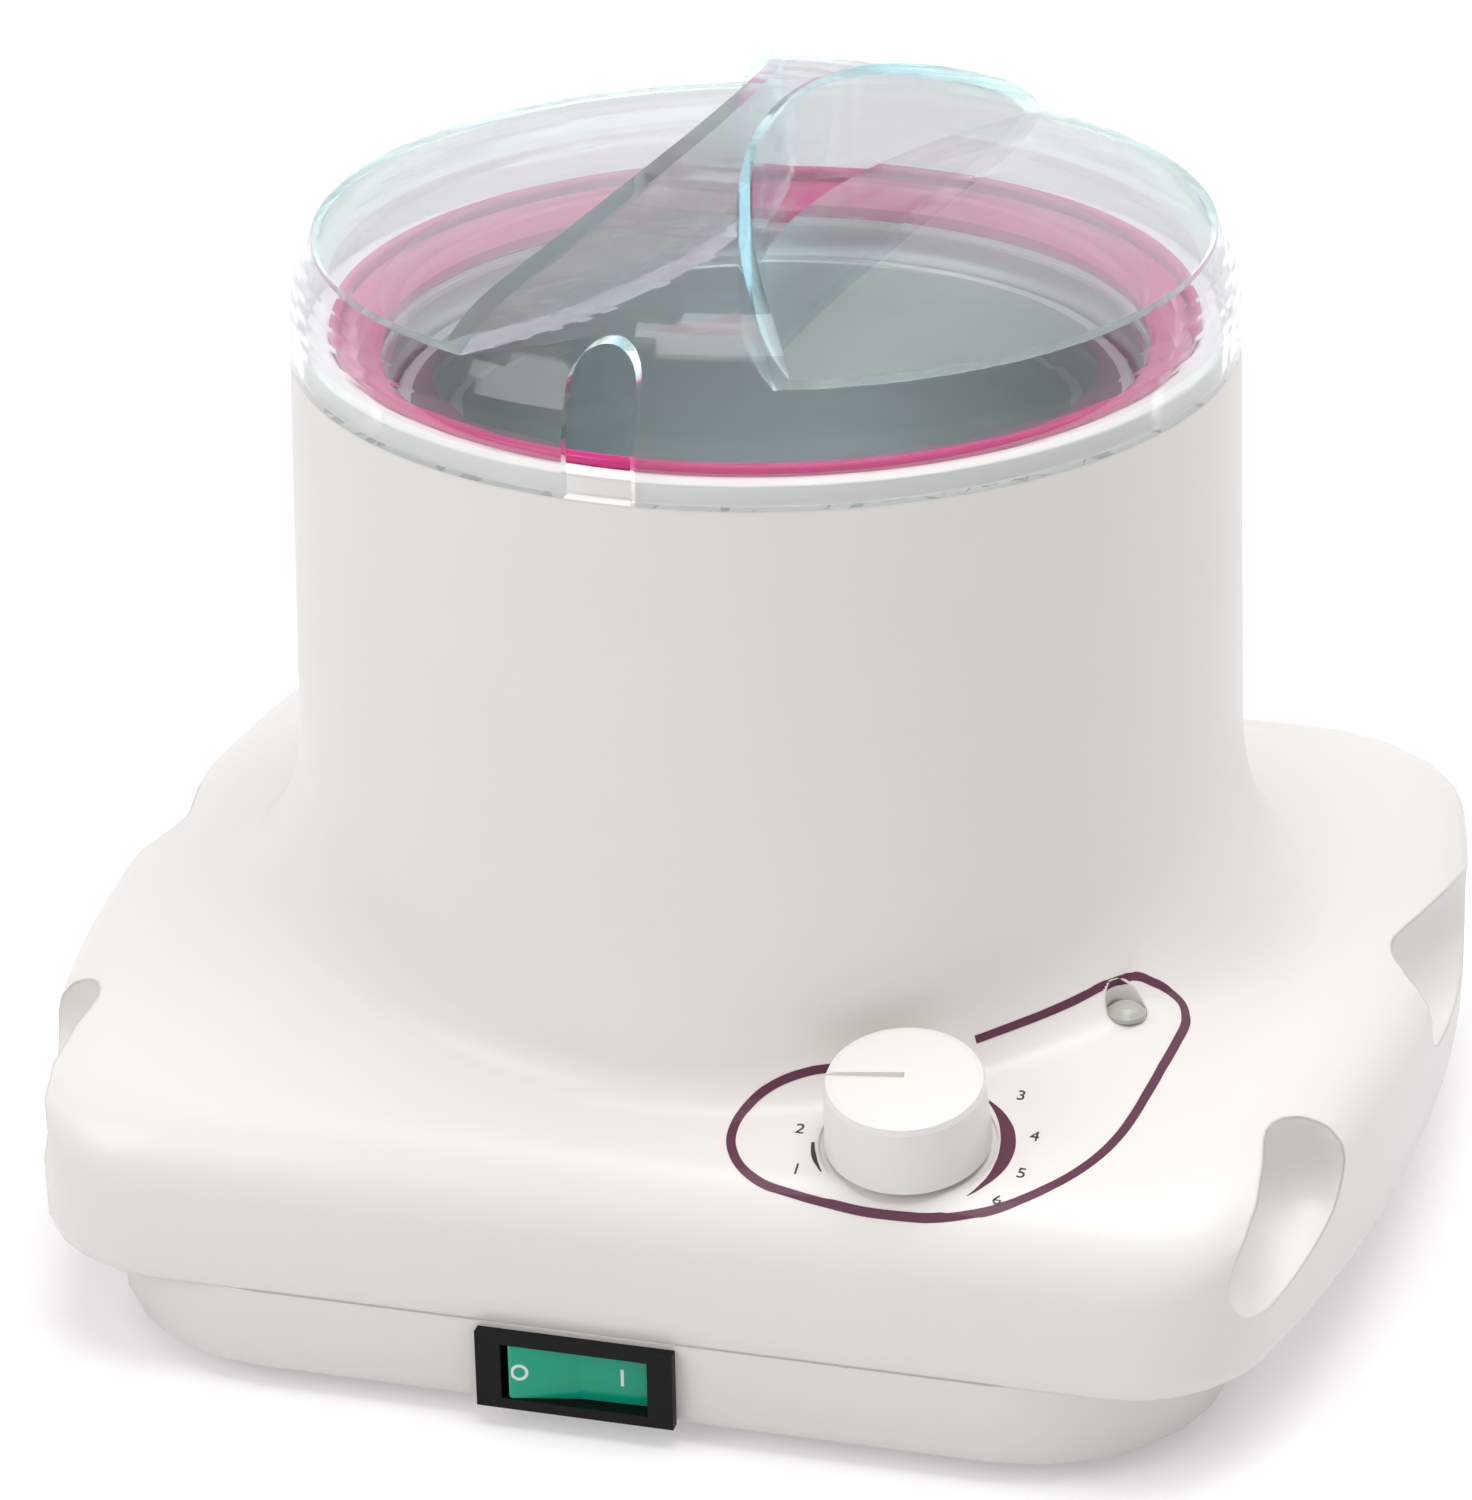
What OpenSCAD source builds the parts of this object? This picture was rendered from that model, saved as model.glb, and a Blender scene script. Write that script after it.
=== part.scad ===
// Wax warmer: a round heated tower blended into a wide base with four grip recesses,
// a removable aluminium pot, a clear lid with a handle ridge, a thermostat knob and a rocker switch.
// Millimetres, +Z up. The origin is at the bottom centre of the whole warmer, front towards -Y.

/* [Base] */
// Width of the base across its bulging sides
base_w = 229; // [216:1:245]
// Depth of the white housing from front face to rear face
base_d = 186; // [182:1:200]
// Plan radius of the bulging sides
side_r = 310; // [260:10:420]
// Distance from the rear face to the widest place of the sides
bulge_back = 76; // [65:1:90]
// Plan radius of the four corners
corner_r = 22; // [16:1:28]
// Height of the flat part of the deck
deck_z = 56.5; // [55:0.5:58]
// Fall from the flat deck to the top of the side rounding
crown = 5.2; // [4:0.1:6]
// Width over which the deck falls towards the side rounding
crown_run = 18; // [12:1:24]
// Height of the side rounding
rim_rise = 10.5; // [8:0.5:14]
// Width of the side rounding
rim_run = 20; // [14:1:24]
// Width of the rounding along the rear edge
rear_run = 12; // [8:1:14]
// Slope of the control panel at the front, in degrees
panel_tilt = 12; // [8:0.5:14]
// Distance from the front face to the fold between the control panel and the flat deck
panel_depth = 54.5; // [50:0.5:57]
// Radius between the sloping deck and the front face
lip_r = 14; // [8:1:18]
// Wall of the moulded housings
wall = 3; // [2.4:0.2:3.4]

/* [Grip recesses] */
// Radius of each finger groove
grip_r = 10; // [8:0.5:11]
// Distance from the widest line of the side in to a groove's centre line, at its inner end
grip_inset = 2; // [0:0.5:3]
// Height of the centre line at the inner ends
grip_z = 42; // [40:0.5:43]
// Distance from the front face to the inner end of a front groove's centre line
grip_front = 33; // [28:1:36]
// Length of a front groove's centre line
grip_front_run = 24; // [18:1:28]
// Distance from the rear face to the inner end of a rear groove's centre line
grip_rear = 86; // [80:1:90]
// Length of a rear groove's centre line
grip_rear_run = 37; // [30:1:40]
// How far a rear groove's centre line leaves the side over its length
grip_rear_out = 5; // [3:0.5:7]
// Fall of each centre line over its length
grip_fall = 6; // [2:0.5:8]

/* [Tray] */
// Height of the lower tray
tray_h = 15; // [14:0.5:18]
// Width of the lower tray
tray_w = 184; // [178:1:190]
// Plan radius of the tray's corners
tray_corner_r = 33; // [24:1:38]
// Step from the housing's rear face to the tray's rear wall
tray_rear_step = 3; // [2.5:0.5:5]
// Height of the feet below the tray
foot_h = 3; // [2:0.5:5]
// Radius of each foot
foot_r = 7; // [5:0.5:9]
// Distance between the feet from left to right
foot_span_x = 132; // [120:2:140]
// Distance between the feet from front to rear
foot_span_y = 144; // [130:2:150]
// Distance between the housing screws from left to right
screw_span_x = 156; // [150:2:160]
// Distance between the housing screws from front to rear
screw_span_y = 128; // [120:2:132]

/* [Tower] */
// Distance from the rear face to the axis of the tower
tower_back = 85; // [83:0.5:90]
// Height of the tower's rim, which the lid stands on
rim_z = 147.5; // [140:0.5:156]
// Outer radius of the tower at its rim
tower_r = 76.6; // [76:0.1:77.6]
// Growth of the tower's radius for each millimetre down
tower_draft = 0.03; // [0.02:0.001:0.035]
// Width of the flared skirt at the tower's foot in front
skirt_run = 5; // [4:0.5:7]
// How much wider the skirt is at the sides
skirt_run_gain = 10; // [6:0.5:11]
// Height of the skirt's top on the tower in front
skirt_front_z = 55.5; // [54:0.5:58]
// Height of the skirt's top on the tower at the sides
skirt_side_z = 83.5; // [76:0.5:88]
// Height of the neck inside the lid
neck_h = 3; // [2:0.5:5]

/* [Lid] */
// Step of the lid beyond the tower's rim
lid_step = 0; // [0:0.1:1.5]
// Wall of the clear lid
lid_wall = 2; // [1.6:0.1:2.4]
// Total height of the lid
lid_h = 39.5; // [34:0.5:42]
// Height of the lid's straight side
lid_side_h = 6; // [4:1:9]
// Radius between the lid's side and its top
lid_round_r = 22; // [18:1:24]
// Height of the two scooped floors beside the handle
scoop_h = 19; // [17:0.5:23]
// Half the width of the handle at its waist
waist = 4.5; // [4:0.5:8]
// Plan radius of the scooped sides of the handle
scoop_r = 110; // [95:1:130]
// Turn of the lid on the tower, in degrees
lid_turn = -4.5; // [-30:0.5:30]
// Width of the spatula notch
notch_w = 11; // [8:0.5:14]
// Height of the spatula notch
notch_h = 22.5; // [18:0.5:26]

/* [Well and pot] */
// Inner radius of the heated well
well_r = 61; // [58:0.5:61]
// Wall of the heated well
well_wall = 1.5; // [1:0.1:1.8]
// Height of the well's floor above the ground
well_floor_z = 42; // [41:0.5:46]
// Height of the removable pot
pot_h = 96; // [80:1:97]
// Wall of the removable pot
pot_wall = 1.2; // [0.8:0.1:1.6]
// Gap between the pot's rim and the well
pot_gap = 0.6; // [0.4:0.1:1.2]
// Height of the heater band
band_h = 52; // [40:1:56]
// Thickness of the heater band
band_t = 1.8; // [1.2:0.1:2]
// Thickness of the insulating mat
mat_t = 3.6; // [2.5:0.1:4]

/* [Controls] */
// Place of the knob, left to right
knob_x = 43; // [38:0.5:50]
// Distance from the front face to the knob's axis
knob_front = 18; // [17:0.5:22]
// Radius of the knob at its foot
knob_r = 12.9; // [12:0.1:14]
// Height of the knob
knob_h = 12.5; // [11:0.5:15]
// Radius of the thermostat's shaft
shaft_r = 3; // [2.5:0.25:3.25]
// Radius of the thermostat's body
thermostat_r = 12.5; // [11:0.5:14]
// Place of the indicator lamp, left to right
lamp_x = 70; // [66:0.5:76]
// Distance from the front face to the indicator lamp
lamp_front = 52.8; // [48:0.2:56]
// Radius of the indicator lens
lens_r = 3.2; // [2.6:0.1:3.6]
// Place of the rocker switch, left to right
switch_x = -6; // [-20:1:8]
// Width of the switch frame
switch_w = 32; // [30:0.5:34]
// Height of the switch frame
switch_h = 13.4; // [12.8:0.1:14]
// How far the switch frame stands proud of the tray
switch_proud = 1.5; // [1:0.1:2]
// Swing of the rocker to each side, in degrees
rocker_swing = 7; // [5:0.5:8]
// Place of the cord gland, left to right
gland_x = -55; // [-56:1:-40]
// Radius of the cord gland's bore
gland_r = 3.4; // [3:0.1:3.8]

/* [Hidden] */

$fn = 96;
eps = 0.01;
// General clearance between pieces that are screwed or snapped together
fit = 0.1;
// Radial clearance of a turning shaft
run_fit = 0.06;

// Levels and places of the housing
parting_z = foot_h + tray_h;
front_y = -(base_d + switch_proud) / 2 + switch_proud;
rear_y = front_y + base_d;
bulge_y = rear_y - bulge_back;
side_cx = base_w / 2 - side_r;
rim_top_z = deck_z - crown;
rim_cz = rim_top_z - rim_rise;
break_y = front_y + panel_depth;
lip_top_y = front_y + lip_r * (1 - sin(panel_tilt));
lip_top_z = deck_z - (break_y - lip_top_y) * tan(panel_tilt);
lip_cz = lip_top_z - lip_r * cos(panel_tilt);
panel_t = wall * (cos(panel_tilt) + sin(panel_tilt));
// How softly the control panel and the deck run into each other
fold_soft = 2;

// Levels and places of the tower and the lid
tower_y = rear_y - tower_back;
neck_r = tower_r + lid_step - lid_wall - 0.6;
neck_z = rim_z + neck_h;
collar_r = neck_r - 4;
collar_seat_z = rim_z;
top_flange = 5;
skirt_r = collar_r - 2.3;
skirt_t = 2.5;
skirt_h = 8;
lid_r = tower_r + lid_step;

// Levels of the well
well_outer_r = well_r + well_wall;
well_bottom_z = well_floor_z - 2;
gasket_t = 1.1;
flange_t = 1.5;
flange_r = skirt_r - skirt_t - 0.2;
collar_under_z = collar_seat_z - 3.3;
flange_top_z = collar_under_z - gasket_t - 0.05;
band_z = well_bottom_z + 22;
clamp_turn = 215;
clamp_gap = 6;
tab_h = 20;
tab_out = 7;
tab_t = 1;
shield_z = parting_z + 6;
shield_t = 0.8;
shield_r = well_outer_r + 3.5;
post_ring_r = 45;
post_r = 4;
bulb_r = 3;
bulb_len = 44;
bulb_y = tower_y - 16;
fuse_r = 2.2;
fuse_len = 12;
fuse_turn = 250;

// Places of the controls
knob_y = front_y + knob_front;
knob_z = panel_z(knob_y);
knob_gap = 1.1;
knob_cx = beside_tower(knob_x, knob_y, knob_r + knob_gap);
seat_r = knob_r + 0.9;
seat_sink = 0.25;
knob_lift = 0.8;
knob_top_t = 2.5;
bush_r = 4.8;
bush_top = 4;
nut_flats = 14;
thermostat_h = 15;
thermostat_top_h = 5;
lamp_y = front_y + lamp_front;
lamp_gap = 2.5;
lamp_cx = beside_tower(lamp_x, lamp_y, lens_r + lamp_gap);
lamp_z = deck_at(lamp_cx, lamp_y) - 0.25;
lens_stem_r = lens_r - 0.8;
switch_z = foot_h + tray_h / 2;
switch_body_w = switch_w - 2.2;
switch_body_h = switch_h - 2.4;
switch_depth = 19;
rocker_len = switch_w - 9.6;
rocker_tall = switch_h - 4;
pivot_depth = 4.7;
pivot_r = 1.2;
tab_len = 8;
tray_front_y = front_y + 0.4;
tray_rear_y = rear_y - tray_rear_step;
gland_body_r = gland_r + 1.4;
snap_r = gland_body_r + 0.4;
gland_flange_r = gland_r + 3.4;
block_size = [34, 18, 13];
block_x = -max(tray_w / 2 - 42, post_ring_r * cos(30) + post_r + 3);
block_y = tray_rear_y - 38.75;
// Spacing of the tabs under the thermostat and behind the switch
thermostat_tab_x = 6;
switch_tab_x = 9;
// Where the heater's lead turns, inside the tray, and where it ends beside the well
lead_turn = [lamp_x + 6, lamp_y + 25.45, foot_h + wall + 6];
lead_end = [well_outer_r + 11.5, tower_y, parting_z + 12];
screw_r = 1.75;
boss_r = 5;

// Round stretch of an outline
function arc_pts(cx, cy, r, a0, a1, n) =
    [for (i = [0:n]) let (a = a0 + (a1 - a0) * i / n) [cx + r * cos(a), cy + r * sin(a)]];

// Right half of an outline, joined to its mirror image
function both_sides(right) =
    concat(right, [for (i = [len(right) - 1:-1:0]) [-right[i].x, right[i].y]]);

// Outline of the housing at one level: bulging sides, straight front and rear, round corners.
// n holds the steps along half the front, a corner, a side and half the rear.
function housing_outline(inset, front, rear, rc, n) =
    let (sr = side_r - inset,
         fy = front + rc,
         ry = rear - rc,
         fx = side_cx + sqrt(pow(sr - rc, 2) - pow(fy - bulge_y, 2)),
         rx = side_cx + sqrt(pow(sr - rc, 2) - pow(ry - bulge_y, 2)),
         af = atan2(fy - bulge_y, fx - side_cx),
         ar = atan2(ry - bulge_y, rx - side_cx))
    both_sides(concat(
        [for (i = [0:n[0] - 1]) [fx * (i + 0.5) / n[0], front]],
        arc_pts(fx, fy, rc, -90, af, n[1]),
        [for (i = [1:n[2] - 1]) let (a = af + (ar - af) * i / n[2])
            [side_cx + sr * cos(a), bulge_y + sr * sin(a)]],
        arc_pts(rx, ry, rc, ar, 90, n[1]),
        [for (i = [n[3] - 1:-1:0]) [rx * (i + 0.5) / n[3], rear]]));

// Share of the front lip in the rounding at each point of that outline
function lip_shares(n) =
    let (right = concat([for (i = [1:n[0]]) 1],
                        [for (i = [0:n[1]]) smooth(1 - i / n[1])],
                        [for (i = [1:n[2] + n[1] + n[3]]) 0]))
    concat(right, [for (i = [len(right) - 1:-1:0]) right[i]]);

// Rectangle with round corners
function tray_outline(inset) =
    let (rc = tray_corner_r - inset,
         x = tray_w / 2 - tray_corner_r,
         fy = tray_front_y + tray_corner_r,
         ry = tray_rear_y - tray_corner_r)
    both_sides(concat(arc_pts(x, fy, rc, -90, 0, 6), arc_pts(x, ry, rc, 0, 90, 6)));

// Half width of the housing at its widest level
function side_x(y) = side_cx + sqrt(pow(side_r, 2) - pow(y - bulge_y, 2));

// Step that starts and ends gently
function smooth(x) = let (t = max(0, min(1, x))) t * t * (3 - 2 * t);

// Lower of two heights, run softly into each other
function soft_min(a, b) =
    let (h = max(0, 1 - abs(a - b) / fold_soft)) min(a, b) - h * h * fold_soft / 4;

// Height of the control panel's plane at a place in depth
function panel_z(y) = deck_z - (break_y - y) * tan(panel_tilt);

// Bearing round the tower: 0 in front, 180 at the rear
function bearing(x, y) = abs(atan2(x, tower_y - y));

// Width of the skirt at the tower's foot, its foot's height and its top on the tower
function skirt_width(b) = skirt_run + skirt_run_gain * smooth((min(b, 180 - b) - 40) / 50);
function skirt_foot(b) = soft_min(deck_z, panel_z(tower_y - tower_at(deck_z) * cos(b)));
function skirt_top(b) =
    max(skirt_front_z + (skirt_side_z - skirt_front_z) * smooth(min(b, 180 - b) / 85),
        skirt_foot(b) + 2.5);

// Height of a screw boss, which ends inside the skin above it
function boss_top(y) = soft_min(deck_z - crown / 2, panel_z(y)) - 0.7 * wall;

// Height of the deck and the skirt at a place clear of the side rounding
function deck_at(x, y) =
    let (b = bearing(x, y),
         r_top = tower_at(skirt_top(b)),
         u = max(0, 1 - (norm([x, y - tower_y]) - r_top) / skirt_width(b)))
    soft_min(deck_z, panel_z(y)) + (skirt_top(b) - skirt_foot(b)) * (1 - sqrt(max(0, 1 - u * u)));

// Sideways place, moved out where the tower's foot would come nearer than the room asked for
function beside_tower(x, y, room) =
    max(x, sqrt(max(0, pow(tower_at(deck_z) + room, 2) - pow(tower_y - y, 2))));

// Radius of the tower at a height
function tower_at(z) = tower_r + (rim_z - z) * tower_draft;

// Joins rows of points along a solid into that solid.
// The end faces fan out from point cap_from, which lies off their straight edges.
module loft(rows, cap_from = 0) {
    n = len(rows[0]);
    m = len(rows);
    sides = [for (r = [0:m - 2], j = [0:n - 1], k = [0:1])
        let (a = r * n + j, b = r * n + (j + 1) % n, c = a + n, d = b + n)
        k == 0 ? [a, c, d] : [a, d, b]];
    caps = [[for (j = [0:n - 1]) (j + cap_from) % n],
            [for (j = [n - 1:-1:0]) (m - 1) * n + (j + cap_from) % n]];
    polyhedron([for (row = rows) each row], concat(sides, caps), convexity = 6);
}

// Round tube that follows a cubic curve between two ends
module curved_tube(p0, p1, p2, p3, r, rings = 16, sides = 8) {
    curve = [for (i = [0:rings]) let (t = i / rings, u = 1 - t)
        u * u * u * p0 + 3 * u * u * t * p1 + 3 * u * t * t * p2 + t * t * t * p3];
    dirs = [for (i = [0:rings])
        i == 0 ? p1 - p0 : i == rings ? p3 - p2 : curve[i + 1] - curve[i - 1]];
    loft([for (i = [0:rings])
        let (d = dirs[i] / norm(dirs[i]), side = cross(d, [0.13, 0.21, 0.97]),
             u = side / norm(side), v = cross(d, u))
        [for (j = [0:sides - 1]) let (a = 360 * j / sides)
            curve[i] + r * (cos(a) * u + sin(a) * v)]]);
}

// Local frame on the sloping deck at the knob, with Z along the shaft
module on_panel() {
    translate([knob_cx, knob_y, knob_z]) rotate([panel_tilt, 0, 0]) children();
}
function panel_point(p) =
    [knob_cx + p.x,
     knob_y + p.y * cos(panel_tilt) - p.z * sin(panel_tilt),
     knob_z + p.y * sin(panel_tilt) + p.z * cos(panel_tilt)];

module on_tower(z = 0) {
    translate([0, tower_y, z]) children();
}

module four_places(span_x, span_y, mid_y = 0) {
    for (sx = [-1, 1], sy = [-1, 1]) {
        translate([sx * span_x / 2, mid_y + sy * span_y / 2, 0]) children();
    }
}

// Point moved out to the wall of the tower where it would lie inside
function outside_tower(x, y, z, thin) =
    let (v = [x, y - tower_y], r = max(norm(v), tower_at(z) - thin))
    [v.x * r / norm(v), tower_y + v.y * r / norm(v), z];

// Column of the skirt, from the rounding's top at q to the tower at bearing b_top, and up the tower
function skirt_column(q, b_top, thin, angles, top_z) =
    let (rq = norm([q.x, q.y - tower_y]),
         b_q = atan2(q.x, tower_y - q.y),
         b = abs(b_top),
         top = skirt_top(b),
         rt = tower_at(top) - thin,
         run = max(0, rq - rt),
         width = min(skirt_width(b) + thin, 0.94 * run),
         lift = (top - skirt_foot(b) + thin) * max(0.5, min(1, run / 8)),
         climb = 0.5 * max(0, 1 - run / 4),
         r_top = tower_at(top_z) - thin)
    concat(
        [for (k = [0:len(angles) - 1])
            let (a = angles[k],
                 r = rt + width * (1 - sin(a)),
                 c = b_q + (b_top - b_q) * pow(sin(a), 2),
                 y = tower_y - r * cos(c),
                 deck = soft_min(deck_z - crown * (1 - min(1, max(0, rq - r) / crown_run)), panel_z(y)))
            outside_tower(r * sin(c), y, deck - thin + lift * (1 - cos(a)) + climb * (k + 1), thin)],
        [[r_top * sin(b_top), tower_y - r_top * cos(b_top), top_z]]);

// The housing's outer form, or its inner form when thin is the wall:
// foot, rounding, deck, skirt and tower in one skin
module housing_form(thin, n, rim_n, angles, top_z) {
    shares = lip_shares(n);
    foot = thin > 0
        ? [[parting_z + thin, 1.5]]
        : [[parting_z, 2.5], [parting_z + 1.2, 0.8], [parting_z + 3.5, 0]];
    rings = [for (i = [0:rim_n]) let (t = i / rim_n)
        housing_outline(rim_run * (1 - cos(90 * t)) + thin,
                        front_y + lip_r * (1 - cos((90 - panel_tilt) * t)) + thin,
                        rear_y - rear_run * (1 - cos(90 * t)) - thin,
                        corner_r - thin, n)];
    crest = rings[rim_n];
    count = len(crest);
    half = count / 2;
    skirt = [for (j = [0:count - 1])
        let (b_top = j < half ? (j + 0.5) * 180 / half : (j + 0.5) * 180 / half - 360)
        skirt_column(crest[j], b_top, thin, angles, top_z)];
    loft(concat(
        [for (f = foot) [for (p = housing_outline(f[1] + thin, front_y + f[1] / 3 + thin,
                                                  rear_y - f[1] / 3 - thin, corner_r - thin, n))
            [p.x, p.y, f[0]]]],
        [for (i = [0:rim_n]) let (t = i / rim_n) [for (j = [0:count - 1])
            let (w = shares[j],
                 base = w * lip_cz + (1 - w) * rim_cz,
                 top = soft_min(rim_top_z, panel_z(crest[j].y)),
                 rise = w * sin((90 - panel_tilt) * t) / cos(panel_tilt) + (1 - w) * sin(90 * t))
            outside_tower(rings[i][j].x, rings[i][j].y, base + (top - base) * rise - thin, thin)]],
        [for (k = [0:len(angles)]) [for (column = skirt) column[k]]]), cap_from = n[0] + 1);
}

// One finger groove: a round-ended bar along a centre line that leaves the side, sy is -1 in front
module grip_bar(sx, sy, r) {
    y0 = sy < 0 ? front_y + grip_front : rear_y - grip_rear;
    y1 = sy < 0 ? y0 - grip_front_run : y0 + grip_rear_run;
    x1 = sy < 0 ? side_x(y0) : side_x(y1) + grip_rear_out;
    p0 = [sx * (side_x(y0) - grip_inset), y0, grip_z];
    p1 = [sx * x1, y1, grip_z - grip_fall];
    v = p1 - p0;
    translate(p0) rotate([0, acos(v.z / norm(v)), atan2(v.y, v.x)])
        rotate_extrude($fn = 48)
            polygon(concat([[0, 2 * norm(v)], [0, -r]],
                [for (i = [1:6]) [r * sin(15 * i), -r * cos(15 * i)]],
                [[r, 2 * norm(v)]]));
}

module all_grips(r) {
    for (sx = [-1, 1], sy = [-1, 1]) {
        grip_bar(sx, sy, r);
    }
}

// Round flat under the knob, sunk a little into the control panel
module knob_seat(r, down) {
    on_panel() translate([0, 0, -down]) cylinder(r = r, h = 30 + down);
}

module upper_housing() {
    color("#f1ede7") difference() {
        union() {
            difference() {
                union() {
                    housing_form(0, [9, 5, 18, 8], 6, [0, 20, 38, 54, 67, 78, 90], rim_z);
                    on_tower(rim_z - 1) cylinder(r = neck_r, h = neck_h + 1);
                }
                difference() {
                    housing_form(wall, [5, 3, 9, 5], 4, [0, 30, 55, 75, 90], rim_z - top_flange);
                    all_grips(grip_r + wall);
                    knob_seat(seat_r + wall, panel_t);
                }
                all_grips(grip_r);
                knob_seat(seat_r, seat_sink);
                // Opening towards the tray
                translate([0, 0, parting_z - 1]) linear_extrude(wall + 2)
                    polygon(tray_outline(wall));
                // Opening in the top flange that the collar snaps into
                on_tower(rim_z - top_flange - 1) cylinder(r = skirt_r + fit, h = top_flange + 2);
                on_tower(collar_seat_z) cylinder(r = collar_r + fit, h = neck_h + 1);
            }
            for (sx = [-1, 1], y = [-screw_span_y / 2, screw_span_y / 2]) {
                translate([sx * screw_span_x / 2, y, parting_z])
                    cylinder(r = boss_r, h = boss_top(y) - parting_z, $fn = 32);
            }
        }
        four_places(screw_span_x, screw_span_y)
            translate([0, 0, parting_z - 1]) cylinder(r = screw_r + fit, h = 15, $fn = 24);
        on_panel() translate([0, 0, -8]) cylinder(r = bush_r + 0.2, h = 16, $fn = 48);
        translate([lamp_cx, lamp_y, lamp_z - 12]) cylinder(r = lens_stem_r + fit, h = 24, $fn = 32);
        translate([lamp_cx, lamp_y, lamp_z + 0.2]) cylinder(r = lens_r + fit, h = 5, $fn = 48);
    }
}

module base_tray() {
    floor_z = foot_h + wall;
    color("#ece8e2") difference() {
        union() {
            difference() {
                loft([for (s = [[foot_h, 2.5], [foot_h + 0.8, 1], [foot_h + 2.5, 0.2], [parting_z, 0]])
                    [for (p = tray_outline(s[1])) [p.x, p.y, s[0]]]]);
                translate([0, 0, floor_z]) linear_extrude(tray_h) polygon(tray_outline(wall));
            }
            four_places(screw_span_x, screw_span_y)
                translate([0, 0, floor_z - 1]) cylinder(r = boss_r, h = parting_z - floor_z + 1, $fn = 32);
        }
        // Countersunk ways for the housing screws
        four_places(screw_span_x, screw_span_y) {
            translate([0, 0, foot_h - 1]) cylinder(r = screw_r + fit, h = tray_h + 2, $fn = 24);
            translate([0, 0, foot_h - 1]) cylinder(r = 2.2 * screw_r, h = 5, $fn = 32);
        }
        four_places(foot_span_x, foot_span_y)
            translate([0, 0, foot_h - 1]) cylinder(r = foot_r / 2.5 + fit, h = wall + 2, $fn = 32);
        // Opening for the switch
        translate([switch_x, tray_front_y, switch_z])
            cube([switch_body_w + 2 * fit, 2 * (switch_depth + 1), switch_body_h + 2 * fit], center = true);
        // Hole for the cord gland
        translate([gland_x, tray_rear_y + 1, switch_z]) rotate([90, 0, 0])
            cylinder(r = gland_body_r + fit, h = wall + 2, $fn = 48);
        translate([gland_x, tray_rear_y - wall, switch_z]) rotate([90, 0, 0])
            cylinder(r = snap_r + fit, h = 5, $fn = 48);
        // Cooling slots under the heat shield
        for (i = [-3:3]) {
            translate([10 * i, tower_y, foot_h]) cube([3, 46, 4 * wall], center = true);
        }
    }
}

module rubber_feet() {
    color("#2b2b2d") four_places(foot_span_x, foot_span_y) union() {
        cylinder(r1 = foot_r - 0.6, r2 = foot_r, h = foot_h, $fn = 48);
        cylinder(r = foot_r / 2.5, h = foot_h + wall, $fn = 32);
    }
}

module housing_screws() {
    color("#b9bcc0") four_places(screw_span_x, screw_span_y) union() {
        translate([0, 0, foot_h + 1]) cylinder(r = 1.9 * screw_r, h = 3, $fn = 32);
        translate([0, 0, foot_h + 3]) cylinder(r = screw_r, h = tray_h + 8, $fn = 24);
    }
}

// Funnel-shaped ring that carries drips back into the pot
module collar_ring() {
    color("#c2185f") on_tower() rotate_extrude() polygon([
        [collar_r, collar_seat_z],
        [collar_r, neck_z - 0.4],
        [collar_r - 0.4, neck_z],
        [well_r + 1.8, collar_seat_z - 0.2],
        [well_r + 1, collar_seat_z - 1],
        [well_r + 1, collar_under_z + 0.6],
        [well_r + 1.6, collar_under_z],
        [skirt_r - skirt_t, collar_under_z],
        [skirt_r - skirt_t, collar_seat_z - skirt_h],
        [skirt_r - 0.6, collar_seat_z - skirt_h],
        [skirt_r + 0.8, collar_seat_z - top_flange - 0.9],
        [skirt_r, collar_seat_z - top_flange - 0.1],
        [skirt_r, collar_seat_z]]);
}

module well_gasket() {
    color("#d9d4cc") on_tower(flange_top_z) difference() {
        cylinder(r = flange_r - 0.2, h = gasket_t);
        translate([0, 0, -1]) cylinder(r = well_outer_r, h = gasket_t + 2);
    }
}

// Deep-drawn aluminium cup with a flange under the collar
module heater_well() {
    in_r = 6;
    color("#b7bbc0") on_tower() rotate_extrude() polygon(concat(
        [[0, well_bottom_z]],
        arc_pts(well_outer_r - in_r - well_wall, well_bottom_z + in_r + well_wall,
                in_r + well_wall, -90, 0, 6),
        [[well_outer_r, flange_top_z - flange_t],
         [flange_r, flange_top_z - flange_t],
         [flange_r, flange_top_z],
         [well_r, flange_top_z]],
        arc_pts(well_r - in_r, well_floor_z + in_r, in_r, 0, -90, 6),
        [[0, well_floor_z]]));
}

// Removable pot with a rolled rim
module wax_pot() {
    top_r = well_r - pot_gap - 1.2;
    foot = top_r - 2;
    in_r = 7;
    top = well_floor_z + 0.1 + pot_h;
    base = well_floor_z + 0.1;
    color("#c9ccd0") on_tower() rotate_extrude() polygon(concat(
        [[0, base + 1.2], [foot - in_r - 6, base + 1.2], [foot - in_r - 4, base]],
        arc_pts(foot - in_r, base + in_r, in_r, -90, 0, 6),
        [[top_r, top - 2.4]],
        arc_pts(top_r, top - 1.2, 1.2, -90, 90, 6),
        [[top_r - pot_wall - 0.4, top],
         [top_r - pot_wall, top - 0.6]],
        arc_pts(foot - in_r, base + in_r + 0.2, in_r - pot_wall, 0, -90, 6),
        [[foot - in_r - 4, base + pot_wall + 0.2],
         [foot - in_r - 6, base + 1.2 + pot_wall],
         [0, base + 1.2 + pot_wall]]));
}

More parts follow.
